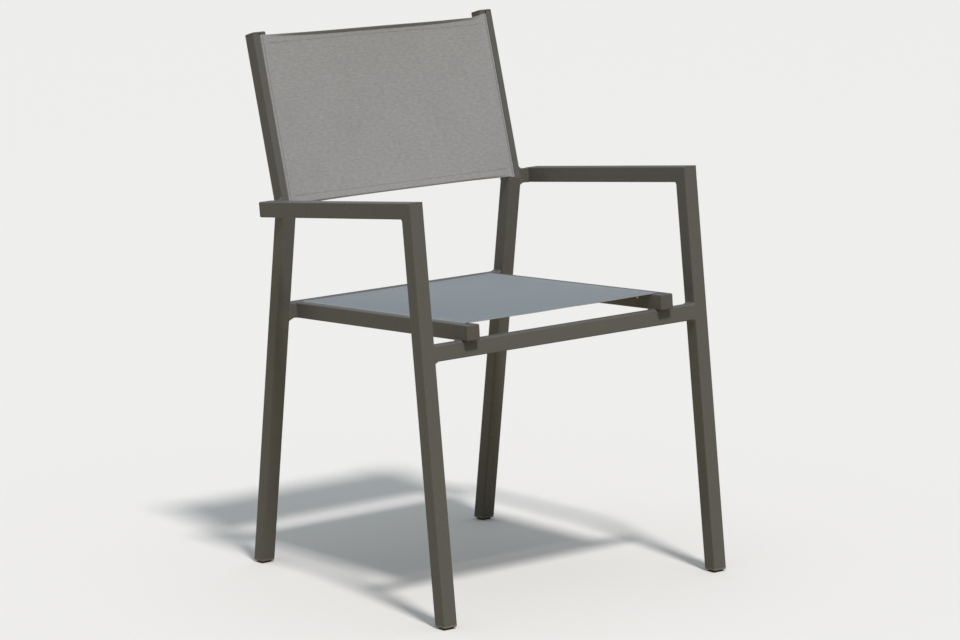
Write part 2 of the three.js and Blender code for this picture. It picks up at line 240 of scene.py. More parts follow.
def powder_coated_aluminium(tree):
    """Polyester powder baked on aluminium tube. It gives an even satin colour with soft orange peel,
    a faint metal-flake speckle and a slightly duller patch here and there from handling."""
    s = chair().frame
    place = object_place(tree)
    peel = noise(tree, place, s.peel, 2.0, 0.45)
    # Real flake is about 0.1 mm across. It is drawn near 1 mm, or it would average out of the picture.
    flake = noise(tree, place, 1.1 * MM, 1.0)
    patch = noise(tree, place, 45 * MM, 3.0, 0.6)
    speckled = mottled(tree, spread(tree, flake, 0.3, 0.7), s.coat, 0.9, 1.12)
    dusty = blend(tree, spread(tree, patch, 0.35, 0.7, 0.0, 0.35), speckled, tint(s.coat, 1.1))
    rough = spread(tree, patch, 0.3, 0.7, s.coat_roughness - 0.05, s.coat_roughness + 0.07)
    # The coat's sheen has a blue tint: a painted reflection of sky on faces seen at a low angle.
    return {"Base Color": dusty, "Roughness": rough, "IOR": 1.5, "Specular IOR Level": s.coat_shine,
            "Sheen Weight": 0.45, "Sheen Roughness": 0.3, "Sheen Tint": srgb("C6D2E2"),
            "Normal": relief(tree, peel, 0.08, 0.28)}


def moulded_polyamide(tree):
    """Injection-moulded polyamide with a spark-eroded grain. It gives a dry, finely pitted matt face
    that looks a touch lighter than the coat beside it."""
    s = chair().frame
    place = object_place(tree)
    # Real grain is about 0.2 mm. It is drawn at the spacing set, which is the finest that shows.
    grain = add(tree, "TexVoronoi", {"Vector": place, "Scale": 1 / s.grain}, feature="SMOOTH_F1")
    cloud = noise(tree, place, 9 * MM, 3.0)
    shade = mottled(tree, cloud, s.plastic, 0.9, 1.12)
    return {"Base Color": shade, "Roughness": spread(tree, cloud, 0.0, 1.0, 0.54, 0.68), "IOR": 1.53,
            "Specular IOR Level": s.coat_shine, "Normal": relief(tree, grain.outputs["Distance"], 0.06)}


def moulded_polyethylene(tree):
    """Injection-moulded polyethylene. The foot glides are a lighter, waxier grey than the coat, and are
    scuffed in short pale lines where they slide over the floor."""
    s = chair().frame
    place = object_place(tree)
    cloud = noise(tree, place, 5 * MM, 3.0)
    scuff = drawn_out_noise(tree, place, (6 * MM, 6 * MM, 0.7 * MM), 2.0)
    shade = mottled(tree, cloud, s.glide, 0.9, 1.1)
    scuffed = blend(tree, spread(tree, scuff, 0.55, 0.75, 0.0, 0.4), shade, tint(s.glide, 1.5))
    return {"Base Color": scuffed, "Roughness": 0.48, "IOR": 1.51, "Normal": relief(tree, scuff, 0.05)}


def moulded_rubber(tree):
    """Black thermoplastic rubber. It is nearly black and dull, with grey floor dust rubbed into it."""
    s = chair().frame
    dust = noise(tree, object_place(tree), 3 * MM, 5.0, 0.7)
    shade = blend(tree, spread(tree, dust, 0.5, 0.8, 0.0, 0.5), s.rubber, srgb("3D3933"))
    return {"Base Color": shade, "Roughness": 0.82, "IOR": 1.52, "Normal": relief(tree, dust, 0.1, 0.4)}


def woven_coated_mesh(tree):
    """Polyester yarn coated in vinyl and woven one over one. It gives a matt grey heather of short flecks
    along the yarn, tiny pits where four yarns meet, drawn as bumps with painted shade in them, and a faint
    plastic sheen at a low angle whose blue tint is a painted reflection of sky."""
    s = chair().sling
    place = add(tree, "UVMap", uv_map="weave").outputs["UV"]
    # Real yarns lie 1.1 mm apart. They are drawn at the spacing set, or they would fall between pixels.
    cell = add(tree, "VectorMath", {0: place, "Scale": 1 / s.yarn}, operation="SCALE").outputs[0]
    axes = add(tree, "SeparateXYZ", {0: cell})
    turns = [maths(tree, "MULTIPLY", axes.outputs[axis], math.pi) for axis in "XY"]
    waves = [maths(tree, "ABSOLUTE", maths(tree, "SINE", turn)) for turn in turns]
    over = add(tree, "TexChecker", {"Vector": cell, "Scale": 1.0}).outputs["Fac"]
    top = add(tree, "Mix", {0: over, 2: waves[0], 3: waves[1]}, data_type="FLOAT").outputs[0]
    both = maths(tree, "MAXIMUM", *waves)
    # Painted shade darkens the pits where four yarns meet.
    pit_shade = spread(tree, both, 0.3, 0.75, 0.72, 1.0)
    # Flecks run across the sling, along the weft yarns, and are a yarn or two high.
    across, along = s.yarn / 0.62, s.slub / 0.7
    fleck = drawn_out_noise(tree, place, (s.slub, across, 1.0), 2.5, 0.65)
    streak = drawn_out_noise(tree, place, (across, along, 1.0), 2.0)
    drift = noise(tree, place, 70 * MM, 2.0)
    lighter = blend(tree, spread(tree, fleck, 0.48, 0.72), s.mid, s.light)
    heather = blend(tree, spread(tree, fleck, 0.46, 0.26), lighter, s.dark)
    streaked = blend(tree, spread(tree, streak, 0.45, 0.75, 0.0, 0.3), heather, s.dark)
    level = spread(tree, drift, 0.3, 0.7, 0.98, 1.02)
    # The needle line draws the yarns together. Along it the colour is darkened: painted shade in its groove,
    # with a little dirt.
    sewn = add(tree, "Attribute", attribute_name="seam").outputs["Fac"]
    level = maths(tree, "MULTIPLY", level, spread(tree, sewn, 0.0, 1.0, 1.0, 0.7))
    shade = maths(tree, "MULTIPLY", pit_shade, level)
    tone = add(tree, "VectorMath", {0: streaked, "Scale": shade}, operation="SCALE").outputs[0]
    height = maths(tree, "MULTIPLY", top, both)
    # The sheen is the coating's own, but its blue tint is a painted reflection of sky at a low angle.
    return {"Base Color": tone, "Roughness": 0.7, "IOR": 1.5, "Sheen Weight": 0.9, "Sheen Roughness": 0.3,
            "Sheen Tint": srgb("AEE2FA"), "Normal": relief(tree, height, 0.25, 0.5)}


def twisted_polyester_thread(tree):
    """Bonded polyester sewing thread. Its twist is drawn as fine slanting bumps, with painted highlights
    along them.
    """
    s = chair().sling
    twist = add(tree, "TexWave", {"Vector": object_place(tree), "Scale": 1 / (0.9 * MM), "Distortion": 1.5},
                wave_type="BANDS", bands_direction="DIAGONAL").outputs["Fac"]
    # Painted highlights and shade lie in bands along the twist.
    shade = mottled(tree, twist, s.sewing, 0.8, 1.1)
    return {"Base Color": shade, "Roughness": 0.6, "IOR": 1.55, "Normal": relief(tree, twist, 0.08, 0.5)}


def extruded_vinyl_rod(tree):
    """Extruded vinyl rod. It is dark and semi-matt, with fine die lines along its length."""
    s = chair().sling
    line = drawn_out_noise(tree, object_place(tree), (0.6 * MM, 60 * MM, 60 * MM), 2.0)
    shade = mottled(tree, line, s.rod, 0.85, 1.15)
    return {"Base Color": shade, "Roughness": 0.5, "IOR": 1.54, "Normal": relief(tree, line, 0.05)}


def stainless_steel(tree):
    """Cold-headed stainless steel, tumbled after heading. It gives a bright head with small dull marks."""
    s = chair().frame
    mark = noise(tree, object_place(tree), 0.7 * MM, 3.0)
    shade = mottled(tree, mark, s.screw, 0.9, 1.1)
    return {"Base Color": shade, "Roughness": spread(tree, mark, 0.3, 0.7, 0.24, 0.42), "Metallic": 1.0}


def seen_directly(tree):
    """1 for what the camera sees, straight or through something, and 0 for light and reflections."""
    path = add(tree, "LightPath")
    return maths(tree, "MAXIMUM", path.outputs["Is Camera Ray"], path.outputs["Is Transmission Ray"])


def pale_floor(tree):
    """Painted studio floor. It is pale and even, so it shows only the chair's shadow."""
    s = chair().stage
    # The pale colour is for the eye. A warm mid tone lights the chair from below and is what it reflects.
    shade = blend(tree, seen_directly(tree), s.floor_bounce, s.floor)
    return {"Base Color": shade, "Roughness": 0.9, "Specular IOR Level": 0.1}


def material_of(maker):
    """The material named after the function that describes it, made once."""
    name = maker.__name__
    if name not in bpy.data.materials:
        material = bpy.data.materials.new(name)
        material.use_nodes = True
        tree = material.node_tree
        tree.nodes.clear()
        shader = add(tree, "BsdfPrincipled", maker(tree))
        add(tree, "OutputMaterial", {"Surface": shader.outputs[0]})
    return bpy.data.materials[name]


# Meshes

def smooth_by_angle():
    """A node group that shades a CAD tube smooth round its corners and keeps its real edges."""
    name = "smooth_corners"
    if name in bpy.data.node_groups:
        return bpy.data.node_groups[name]
    group = bpy.data.node_groups.new(name, "GeometryNodeTree")
    nodes, link = group.nodes, group.links.new
    for way in ("INPUT", "OUTPUT"):
        group.interface.new_socket("Geometry", in_out=way, socket_type="NodeSocketGeometry")
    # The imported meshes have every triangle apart, so they are joined before they can be smoothed.
    chain = [nodes.new(kind) for kind in (
        "NodeGroupInput", "GeometryNodeMergeByDistance", "GeometryNodeRemoveAttribute",
        "GeometryNodeSetShadeSmooth", "GeometryNodeSetShadeSmooth", "NodeGroupOutput")]
    for first, second in zip(chain, chain[1:]):
        link(first.outputs[0], second.inputs[0])
    _, joined, bare, _, edges, _ = chain
    joined.inputs["Distance"].default_value = 0.001 * MM
    bare.inputs["Name"].default_value = "custom_normal"
    edges.domain = "EDGE"
    bend, soft = nodes.new("GeometryNodeInputMeshEdgeAngle"), nodes.new("FunctionNodeCompare")
    soft.operation = "LESS_EQUAL"
    soft.inputs["B"].default_value = math.radians(SHARP)
    link(bend.outputs["Unsigned Angle"], soft.inputs["A"])
    link(soft.outputs[0], edges.inputs["Shade Smooth"])
    return group


def both_sides(*parts):
    """The names of some parts' nodes on the left and on the right."""
    return [f"{part}_{side}" for side, _ in SIDES for part in parts]


def finish_nodes(names, maker, bevel=0.0):
    """Gives CAD nodes their material, smooth corners and, if asked, a bevel. They stay in place."""
    for name in names:
        node = frame["nodes"][name]
        for slot in node.material_slots:
            slot.material = material_of(maker)
        node.modifiers.new("smooth_corners", "NODES").node_group = smooth_by_angle()
        if bevel:
            broken = node.modifiers.new("broken_edges", "BEVEL")
            broken.width, broken.segments, broken.angle_limit = bevel, 3, math.radians(SHARP)
        node.modifiers.new("even_normals", "WEIGHTED_NORMAL").keep_sharp = True


def new_object(name, data, place=None):
    """An object in the scene."""
    thing = bpy.data.objects.new(name, data)
    if place:
        thing.matrix_world = place
    bpy.context.scene.collection.objects.link(thing)
    return thing


def new_piece(name, points, faces, material, edge_angle, weave=None, seam_shade=None):
    """A mesh piece that rides on the chair, with smooth shading up to an edge angle."""
    mesh = bpy.data.meshes.new(name)
    mesh.from_pydata([tuple(p) for p in points], [], faces)
    if weave:
        layer = mesh.uv_layers.new(name="weave")
        for loop in mesh.loops:
            layer.data[loop.index].uv = weave[loop.vertex_index]
    # The seam attribute holds painted shade along the needle lines, by which the cloth's material is
    # darkened.
    if seam_shade:
        mesh.attributes.new("seam", "FLOAT", "POINT").data.foreach_set("value", seam_shade)
    work = bmesh.new()
    work.from_mesh(mesh)
    bmesh.ops.recalc_face_normals(work, faces=work.faces)
    for face in work.faces:
        face.smooth = True
    for edge in work.edges:
        edge.smooth = len(edge.link_faces) == 2 and edge.calc_face_angle() < math.radians(edge_angle)
    work.to_mesh(mesh)
    work.free()
    mesh.materials.append(material)
    piece = new_object(name, mesh)
    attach(piece, "root")
    return piece


def tube_faces(rings, around, closed):
    """Quads of a tube whose sections lie one after another. Open tubes get a face at each end."""
    faces = []
    for i in range(rings if closed else rings - 1):
        a, b = i * around, ((i + 1) % rings) * around
        faces += [(a + k, a + (k + 1) % around, b + (k + 1) % around, b + k) for k in range(around)]
    if not closed:
        faces += [tuple(range(around))[::-1], tuple((rings - 1) * around + k for k in range(around))]
    return faces


def ease(share):
    """Runs smoothly from 0 to 1 as share does."""
    share = min(1.0, max(0.0, share))
    return share * share * (3 - 2 * share)


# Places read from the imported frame

def corners_of(name):
    """A CAD node's points in the chair's frame."""
    node = frame["nodes"][name]
    return [node.matrix_world @ v.co for v in node.data.vertices]


def member(name):
    """A straight member in side view: the normal of its front or upper face, its length direction,
    and the distance of that face along the normal."""
    data = frame["nodes"][name].data
    level = [p for p in data.polygons if abs(p.normal.x) < 0.01 and p.normal.dot(Vector((0, -1, 1))) > 0.3]
    normal = max(level, key=lambda p: p.area).normal.copy()
    normal.x = 0
    normal.normalize()
    return normal, normal.cross(RIGHT), max(v.dot(normal) for v in corners_of(name))


# Slings

CLEARANCE = 0.3 * MM  # between the cloth and the rail's face
LIP_BEND = 1.6 * MM  # radius of the cloth's turn over the rail's lip
SLEEVE_RADIUS = 3.05 * MM  # outside of the sleeve round its rod
NEEDLE_IN = 2 * MM  # from the end of a fold to its needle line
STITCH_END = 2 * MM  # from the last stitch to the rail or the free edge
STEP_IN, STEP_RUN = 0.3 * MM, 1.2 * MM  # where the cloth rises over the end of its side fold
HEM_IN, HEM_RUN = 0.3 * MM, 0.45 * MM  # where a hem's second layer ends
GROOVE_WIDTH = 0.7 * MM  # of the groove that a needle line pulls
SEAM_GROOVE, HEM_GROOVE = 0.42 * MM, 0.16 * MM  # its depth at a side seam and at a hem
SHADE_WIDTH = 0.8 * MM  # of the strip of painted shade along a needle line
HEM_SHADE, HEM_PULL, PULL_SHARE, PULL_RUN = 0.12, 0.5, 0.84, 0.12  # how a hem's painted shade grows at the rails
# The soft waves' turn in radians, per metre across, per half length, and per metre as they slant.
WAVE_ACROSS, WAVE_ALONG, WAVE_SLANT, WAVE_STARTS = 38, 3.1, 9, (1.3, 0.6)
DRAW_SKEW, DRAW_BOW = 1.1, 0.55  # how the draw-in grows from the left rail to the right one
CORNER_HOLD, CORNER_SHARE = 0.7, 0.85  # how much the rails hold it back, and from where
TAB_RUN, TAB_HEIGHT = 8 * MM, 12 * MM  # over which a sleeve's tab fades, across and along the rail
ROLL_REACH = 1.5  # heights of its strip over which an edge rolls
EDGE_ROUND = 0.85  # how round a folded edge is, from 0 for square to 1 for a half circle
STITCH_SHARES = (-0.5, -0.3, 0, 0.3, 0.5)  # of a stitch's length
STITCH_LIFTS = (-0.45, 0.12, 0.3, 0.12, -0.45)  # of the thread's thickness
STITCH_PINCH = 0.55  # of its thickness, where the thread goes into the cloth


class Sling:
    """A sling's place between its rails, read from its CAD nodes."""

    def __init__(self, word, rail):
        s = chair().sling
        self.word, self.curls = word, word == "back"
        self.normal, self.along, self.face = member(rail + "_right")
        reach = [p.dot(self.along) for p in corners_of(word + "_sling")]
        start, end = min(reach) + (0.0 if self.curls else s.seat_inset), max(reach)
        self.middle, self.half = (start + end) / 2, (end - start) / 2
        low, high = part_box(word + "_sling_rod_right")
        self.axis = (low.x + high.x) / 2
        self.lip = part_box(rail + "_right")[0].x
        self.sag = s.back_sag if self.curls else s.seat_sag
        rod = corners_of(word + "_sling_rod_right")
        self.channel = self.face - sum(p.dot(self.normal) for p in rod) / len(rod)

    def point(self, x, along, depth):
        """The point at x, a distance along the rails and a depth below their sling faces."""
        return RIGHT * x + self.along * along + self.normal * (self.face - depth)

    def shaped(self, x, share, depth):
        """Where the cloth lies: drawn in at its upper edge and sagging between the rails."""
        s = chair().sling
        u = x / self.axis
        bow = max(0.0, 1 - (x / self.lip) ** 2)
        sag = bow * (s.edge_sag + (self.sag - s.edge_sag) * (1 - share ** 2))
        wave = s.ripple * bow * math.sin(WAVE_ACROSS * x + WAVE_STARTS[0])
        wave *= math.sin(WAVE_ALONG * share + WAVE_STARTS[1] + WAVE_SLANT * x)
        # The back's upper edge is drawn in, more so towards the right rail. The other edges are straight.
        hollow = 0.0
        if self.curls and share > 0:
            corner = 1 - CORNER_HOLD * ease((abs(u) - CORNER_SHARE) / (1 - CORNER_SHARE))
            hollow = s.draw_in * corner * (1 + DRAW_SKEW * u + DRAW_BOW * u * u)
        return self.middle + share * (self.half - hollow), depth + sag + wave


def cloth_level():
    """Height of the cloth's middle line over the rail's face."""
    return CLEARANCE + chair().sling.thickness / 2


def side_section(sling, sign):
    """The middle line of the cloth at one side, from the end of its side fold, round the rod and up
    over the rail's lip, as pairs of x and depth."""
    s = chair().sling
    t = s.thickness
    low = cloth_level()
    ring = SLEEVE_RADIUS - t / 2
    bend_x, bend_depth = -t / 2 - LIP_BEND, LIP_BEND - low
    line = [(bend_x + (-s.fold - bend_x) * (1 - i / 7), -low) for i in range(7)]
    line += [(bend_x + LIP_BEND * math.sin(a), bend_depth - LIP_BEND * math.cos(a))
             for a in (0, 0.5, 1.05, math.pi / 2)]
    gap = math.asin(t / 2 / ring)
    turns = [gap + (2 * math.pi - 2 * gap) * i / 14 for i in range(15)]
    line += [(-ring * math.sin(a), sling.channel - ring * math.cos(a)) for a in turns]
    outer = LIP_BEND + t
    line += [(bend_x + outer * math.cos(a), bend_depth - outer * math.sin(a))
             for a in (0, 0.3, 0.6, 0.9, 1.2, math.pi / 2)]
    return [(sign * (sling.axis + x), depth) for x, depth in line]


def sling_columns(sling):
    """The cloth's middle line from one side fold to the other, and how many points each sleeve has."""
    s = chair().sling
    right, left = side_section(sling, 1), side_section(sling, -1)
    inner = sling.axis - s.fold
    steps = [s.seam + v * MM for v in (-1.5, -1, -0.6, -0.3, 0, 0.3, 0.6, 1, 1.6, 2.6)]
    steps += [s.fold + v * MM for v in (-2.2, -1, -0.4, 0, 0.4, 0.8, 1.3, 2, 3.2, 5, 8, 12, 17)]
    near = [sling.axis - v for v in steps]
    widest = 6 * MM
    count = 2 * round(near[-1] / widest) + 1
    middle = [near[-1] * (1 - 2 * i / count) for i in range(1, count)]
    low = cloth_level()
    span = [(x, -low - s.thickness * ease((abs(x) - inner + STEP_IN) / STEP_RUN))
            for x in near + middle + [-v for v in reversed(near)]]
    return right + span + left[::-1], len(right)


def sling_rows(sling):
    """Distances in from a free edge at which the cloth has a row of points: near it, and past its hem."""
    s = chair().sling
    edge = [0, 0.08, 0.25, 0.5, 0.9, 1.5, 2.3, 3.1, 3.9, 4.7, 5.5, 6.5, 8, 10, 12]
    hem = [s.hem / MM + v for v in (-3.2, -2.6, -2.2, -1.8, -1.2, -0.5, -0.15, 0.15, 0.6, 2, 5, 9)]
    near = [v * MM for v in edge + hem]
    rest = 2 * (sling.half - near[-1])
    longest = 6.5 * MM
    count = max(2, round(rest / longest))
    return near, [near[-1] + rest * i / count for i in range(1, count)]


def nearness(distance, width):
    """1 at no distance, falling away smoothly over a width."""
    return math.exp(-(distance / width) ** 2)


def cloth_offsets(distance, carries, from_seam=1.0):
    """Front and back faces of the cloth, measured from its middle line, at a distance from a free edge.
    The hem folds to the back, so its second layer is on that side. Each seam pulls a groove."""
    s = chair().sling
    t = s.thickness
    front, back = t / 2, -t / 2
    front -= SEAM_GROOVE * nearness(from_seam, GROOVE_WIDTH)
    if distance < s.hem + HEM_IN:
        back -= carries * t * ease((s.hem + HEM_IN - distance) / HEM_RUN)
    front -= HEM_GROOVE * nearness(distance - s.hem + NEEDLE_IN, GROOVE_WIDTH) * carries
    fold = (front - back) / 2
    if distance < fold:
        # The fold's end is round, with a little of its corners left.
        pinch = fold * (1 - math.sqrt(max(0.0, 1 - (1 - distance / fold) ** 2))) * EDGE_ROUND
        front -= pinch
        back += pinch
    return front, back


def cloth_spot(sling, x, depth, distance, end, carries):
    """The cloth's middle point at x, a distance in from a free edge (end -1 or 1), and its direction out."""
    s = chair().sling
    share = end * (1 - distance / sling.half)
    along, low = sling.shaped(x, share, depth)
    if sling.curls and end < 0:
        along -= s.tab * ease((abs(x) - sling.lip) / TAB_RUN) * ease(1 - distance / TAB_HEIGHT)
    out = sling.normal.copy()
    zone = (s.curl if end > 0 else s.tuck) * ROLL_REACH if sling.curls else 0.0
    if distance < zone:
        # The upper edge rolls forward and the lower edge rolls under, so both strips face downwards.
        roll = s.curl_angle * max(0.0, 1 - (x / sling.lip) ** 4) * carries
        steps = 10
        run = (zone - distance) / steps
        for i in range(steps):
            turn = roll * ease(run * (i + 0.5) / (zone / 2))
            along -= end * run * (1 - math.cos(turn))
            low -= end * run * math.sin(turn)
        turn = roll * ease((zone - distance) / (zone / 2))
        out = sling.normal * math.cos(turn) - sling.along * math.sin(turn)
    return sling.point(x, along, low), out


def sling_cloth(sling):
    """The woven cloth of one sling, as a closed sheet with side sleeves and hemmed free edges."""
    s = chair().sling
    columns, sleeve = sling_columns(sling)
    near, middle = sling_rows(sling)
    rows = [(d, -1) for d in near + middle] + [(d, 1) for d in reversed(near)]
    spans = [0.0]
    for (x0, d0), (x1, d1) in zip(columns, columns[1:]):
        spans.append(spans[-1] + math.hypot(x1 - x0, d1 - d0))
    points, weave, seam_shade = [], [], []
    for distance, end in rows:
        front_row, back_row = [], []
        for k, (x, depth) in enumerate(columns):
            in_span = sleeve <= k < len(columns) - sleeve
            carries = ease((sling.lip + 1.5 * MM - abs(x)) / (3 * MM)) if in_span else 0.0
            spot, out = cloth_spot(sling, x, depth, distance, end, carries)
            before, after = columns[max(0, k - 1)], columns[min(len(columns) - 1, k + 1)]
            run = Vector((after[0] - before[0], before[1] - after[1])).normalized()
            # In the section the cloth runs from +X to -X, so its outer side is a quarter turn from that.
            side = RIGHT * run.y - out * run.x
            # A metre stands for no seam near.
            from_seam = abs(abs(x) - sling.axis + s.seam) if in_span else 1.0
            front, back = cloth_offsets(distance, carries, from_seam)
            front_row.append(spot + side * front)
            back_row.append(spot + side * back)
            weave.append((spans[k], end * (sling.half - distance)))
            from_hem = abs(distance - s.hem + NEEDLE_IN) if carries > 0.5 else 1.0
            # A hem's needle line gets painted shade, most near the rails, where the folds pull at it.
            pull = HEM_SHADE + HEM_PULL * ease((abs(x) / sling.lip - PULL_SHARE) / PULL_RUN)
            seam_shade.append(max(nearness(from_seam, SHADE_WIDTH), pull * nearness(from_hem, SHADE_WIDTH)))
        for values in (weave, seam_shade):
            values += values[-len(columns):][::-1]
        points += front_row + back_row[::-1]
    faces = tube_faces(len(rows), 2 * len(columns), False)[:-2]
    around, last = 2 * len(columns), (len(rows) - 1) * 2 * len(columns)
    for k in range(len(columns) - 1):
        faces.append((k, around - 1 - k, around - 2 - k, k + 1))
        faces.append((last + k + 1, last + around - 2 - k, last + around - 1 - k, last + k))
    cloth = new_piece(sling.word + "_sling_cloth", points, faces, material_of(woven_coated_mesh),
                      edge_angle=60, weave=weave, seam_shade=seam_shade)
    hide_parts(sling.word + "_sling")
    return cloth, spans[-1]


def stitches(sling):
    """Lockstitches on both faces of the hems along the free edges, and on the front of the side folds."""
    s = chair().sling
    pitch = s.stitch + s.stitch_gap
    low = cloth_level()
    runs = []
    count = int(2 * (sling.lip - STITCH_END) / pitch)
    for end in (-1, 1):
        for i in range(count):
            x = (i - (count - 1) / 2) * pitch
            runs.append([(x + s.stitch * f, -low, s.hem - NEEDLE_IN, end, 1.0) for f in STITCH_SHARES])
    count = int(2 * (sling.half - STITCH_END) / pitch)
    for sign in (-1, 1):
        for i in range(count):
            distance = STITCH_END + pitch * (i + 0.5)
            x = sign * (sling.axis - s.seam)
            runs.append([(x, -low - s.thickness, distance + s.stitch * f, -1, 0.0) for f in STITCH_SHARES])
    points, faces = [], []
    around = 6
    for face in (1, -1):
        for run in runs:
            _, _, inset, _, hemmed = run[0]
            if face < 0 and not hemmed:
                continue
            spots = [cloth_spot(sling, *stop) for stop in run]
            heading = (spots[-1][0] - spots[0][0]).normalized()
            base = len(points)
            for (spot, out), lift in zip(spots, STITCH_LIFTS):
                front, back = cloth_offsets(inset, hemmed, 1.0 if hemmed else 0.0)
                centre = spot + out * ((front if face > 0 else back) + face * lift * s.thread)
                side = out.cross(heading)
                thick = s.thread / 2 * (STITCH_PINCH if lift < 0 else 1.0)
                for k in range(around):
                    turn = 2 * math.pi * k / around
                    points.append(centre + side * thick * math.cos(turn) + out * thick * math.sin(turn))
            faces += [tuple(base + v for v in f) for f in tube_faces(len(run), around, False)]
    return new_piece(sling.word + "_sling_stitches", points, faces,
                     material_of(twisted_polyester_thread), edge_angle=70)


# Welds

WELD_STEP = 1.4 * MM  # between the points round a weld
RIPPLE_DEPTH = 0.045  # of a weld's size
FILLET_STEPS, FILLET_HOLLOW = 6, 0.42  # of a straight fillet's face
MITRE_FILLET = 3.4 * MM, 1.1 * MM  # reach and height of a mitre's weld on the hollow side of the bend
MITRE_REACH, MITRE_ROOT = 1.8 * MM, 0.6 * MM  # its reach on the other sides, and its depth


def bead(name, sections, closed):
    """A weld bead through the given sections, each a list of points in order round it."""
    points = [p for section in sections for p in section]
    faces = tube_faces(len(sections), len(sections[0]), closed)
    return new_piece(name, points, faces, material_of(powder_coated_aluminium),
                     edge_angle=50)


def ripple_at(distance):
    """How much a weld's height varies at a distance along it."""
    return 1 + RIPPLE_DEPTH * math.sin(2 * math.pi * distance / chair().frame.weld_ripple)


def fillet_line(name, start, end, on_first, on_second):
    """A straight fillet from start to end in the corner between two faces, tapering at both ends.
    on_first and on_second point along the faces."""
    s = chair().frame
    leg = s.weld_leg
    root, toe, swell = 0.4 * MM, 0.1 * MM, 0.16 * MM
    length = (end - start).length
    count = max(6, round(length / (s.weld_ripple / 4)))
    sections = []
    for i in range(count + 1):
        share = i / count
        taper = math.sqrt(max(0.05, min(1.0, share * length / leg, (1 - share) * length / leg)))
        rise = leg * taper * ripple_at(share * length)
        corner = start.lerp(end, share)
        section = [corner - (on_first + on_second) * root, corner + on_first * rise - on_second * toe]
        for turn in [k / FILLET_STEPS for k in range(1, FILLET_STEPS)]:
            bow = math.sin(math.pi * turn)
            full, pull = rise * (1 - FILLET_HOLLOW * bow), swell * bow
            section.append(corner + on_first * (full * (1 - turn) + pull)
                           + on_second * (full * turn + pull))
        sections.append(section + [corner + on_second * rise - on_first * toe])
    return bead(name, sections, False)


def bar_outline(half_across, half_up, corner, steps=5):
    """Points round a bar's section with round corners: across, up, and the outward normal of each."""
    ring = []
    for quarter in range(4):
        turn = quarter * math.pi / 2
        c, n = round(math.cos(turn)), round(math.sin(turn))
        half, side = (half_across, half_up) if quarter % 2 == 0 else (half_up, half_across)
        flat = max(2, round(2 * (side - corner) / WELD_STEP))
        spots = [(half, (side - corner) * (2 * i / flat - 1), 1, 0) for i in range(flat)]
        for i in range(steps):
            a = math.pi / 2 * i / steps
            spots.append((half - corner * (1 - math.cos(a)), side - corner * (1 - math.sin(a)),
                          math.cos(a), math.sin(a)))
        ring += [(x * c - y * n, x * n + y * c, nx * c - ny * n, nx * n + ny * c) for x, y, nx, ny in spots]
    return ring


TUBE = bar_outline(TUBE_SIZE / 2, TUBE_SIZE / 2, TUBE_CORNER)


def fillet_height(leg, reach, crown):
    """A fillet's height at a distance from its root: a hollow quarter circle, filled out by its crown."""
    if reach <= 0 or leg <= 0:
        return leg
    share = min(1.0, reach / leg)
    hollow = 1 - math.sqrt(1 - (1 - share) ** 2)
    return leg * (hollow + crown * (math.sqrt(1 - share ** 2) - hollow))


def end_weld(name, centre, inward, across, rise, outline, legs, planes=(None, None), run=2.5 * MM,
             crown=0.2):
    """A weld round the end of a bar that butts on another tube. inward points along the bar, across and
    rise are the directions of its section, and legs are the fillet's sizes on its sides towards
    +across, +rise, -across and -rise. For a side along across, planes can give the faces, each a normal and
    its distance, with which the weld is dressed level. It then also fills the tube's round corner."""
    flush = chair().frame.weld_flush
    sink, level_from = 0.5 * MM, 3 * MM
    half_across, half_rise = max(p[0] for p in outline), max(p[1] for p in outline)
    longest = max(legs)
    steps = [v * MM for v in ((-3.4, -2.6, -2, -1.5, -1, -0.6, -0.3, 0) if any(planes) else (-0.8, 0))]
    steps += [longest * (i / 9) ** 2 for i in range(1, 10)] + [longest + v * MM for v in (0.6, 1.2)]
    sections = []
    for reach in steps:
        sunk = sink if reach in (steps[0], steps[-1]) else 0.0
        dip = min(max(reach + TUBE_CORNER, 0.0), TUBE_CORNER)
        gone = TUBE_CORNER - math.sqrt(TUBE_CORNER ** 2 - dip ** 2)
        level = ease((reach + level_from) / run)
        section = []
        for i, (a, b, normal_a, normal_b) in enumerate(outline):
            grow = [fillet_height(v, reach, crown) * ripple_at(WELD_STEP * i) + flush - sunk for v in legs]
            b += max(0, normal_b) * grow[1] + min(0, normal_b) * grow[3]
            a += max(0, normal_a) * grow[0] + min(0, normal_a) * grow[2]
            full = [half_across + grow[0], half_across + grow[2]]
            ends = list(full)
            for k, way in ((0, 1), (1, -1)):
                if planes[k]:
                    fade = 1 - ease((abs(b) - half_rise - flush) / legs[1 if b > 0 else 3])
                    other = min((face - normal.dot(centre + rise * b)) / normal.dot(across * way)
                                for normal, face in planes[k]) - gone
                    ends[k] = min(full[k], other + (half_across - other) * level * fade + flush - sunk)
            share = (a + full[1]) / (full[0] + full[1])
            a = share * (ends[0] + ends[1]) - ends[1]
            section.append(centre + inward * reach + across * a + rise * b)
        sections.append(section)
    return bead(name, sections, False)


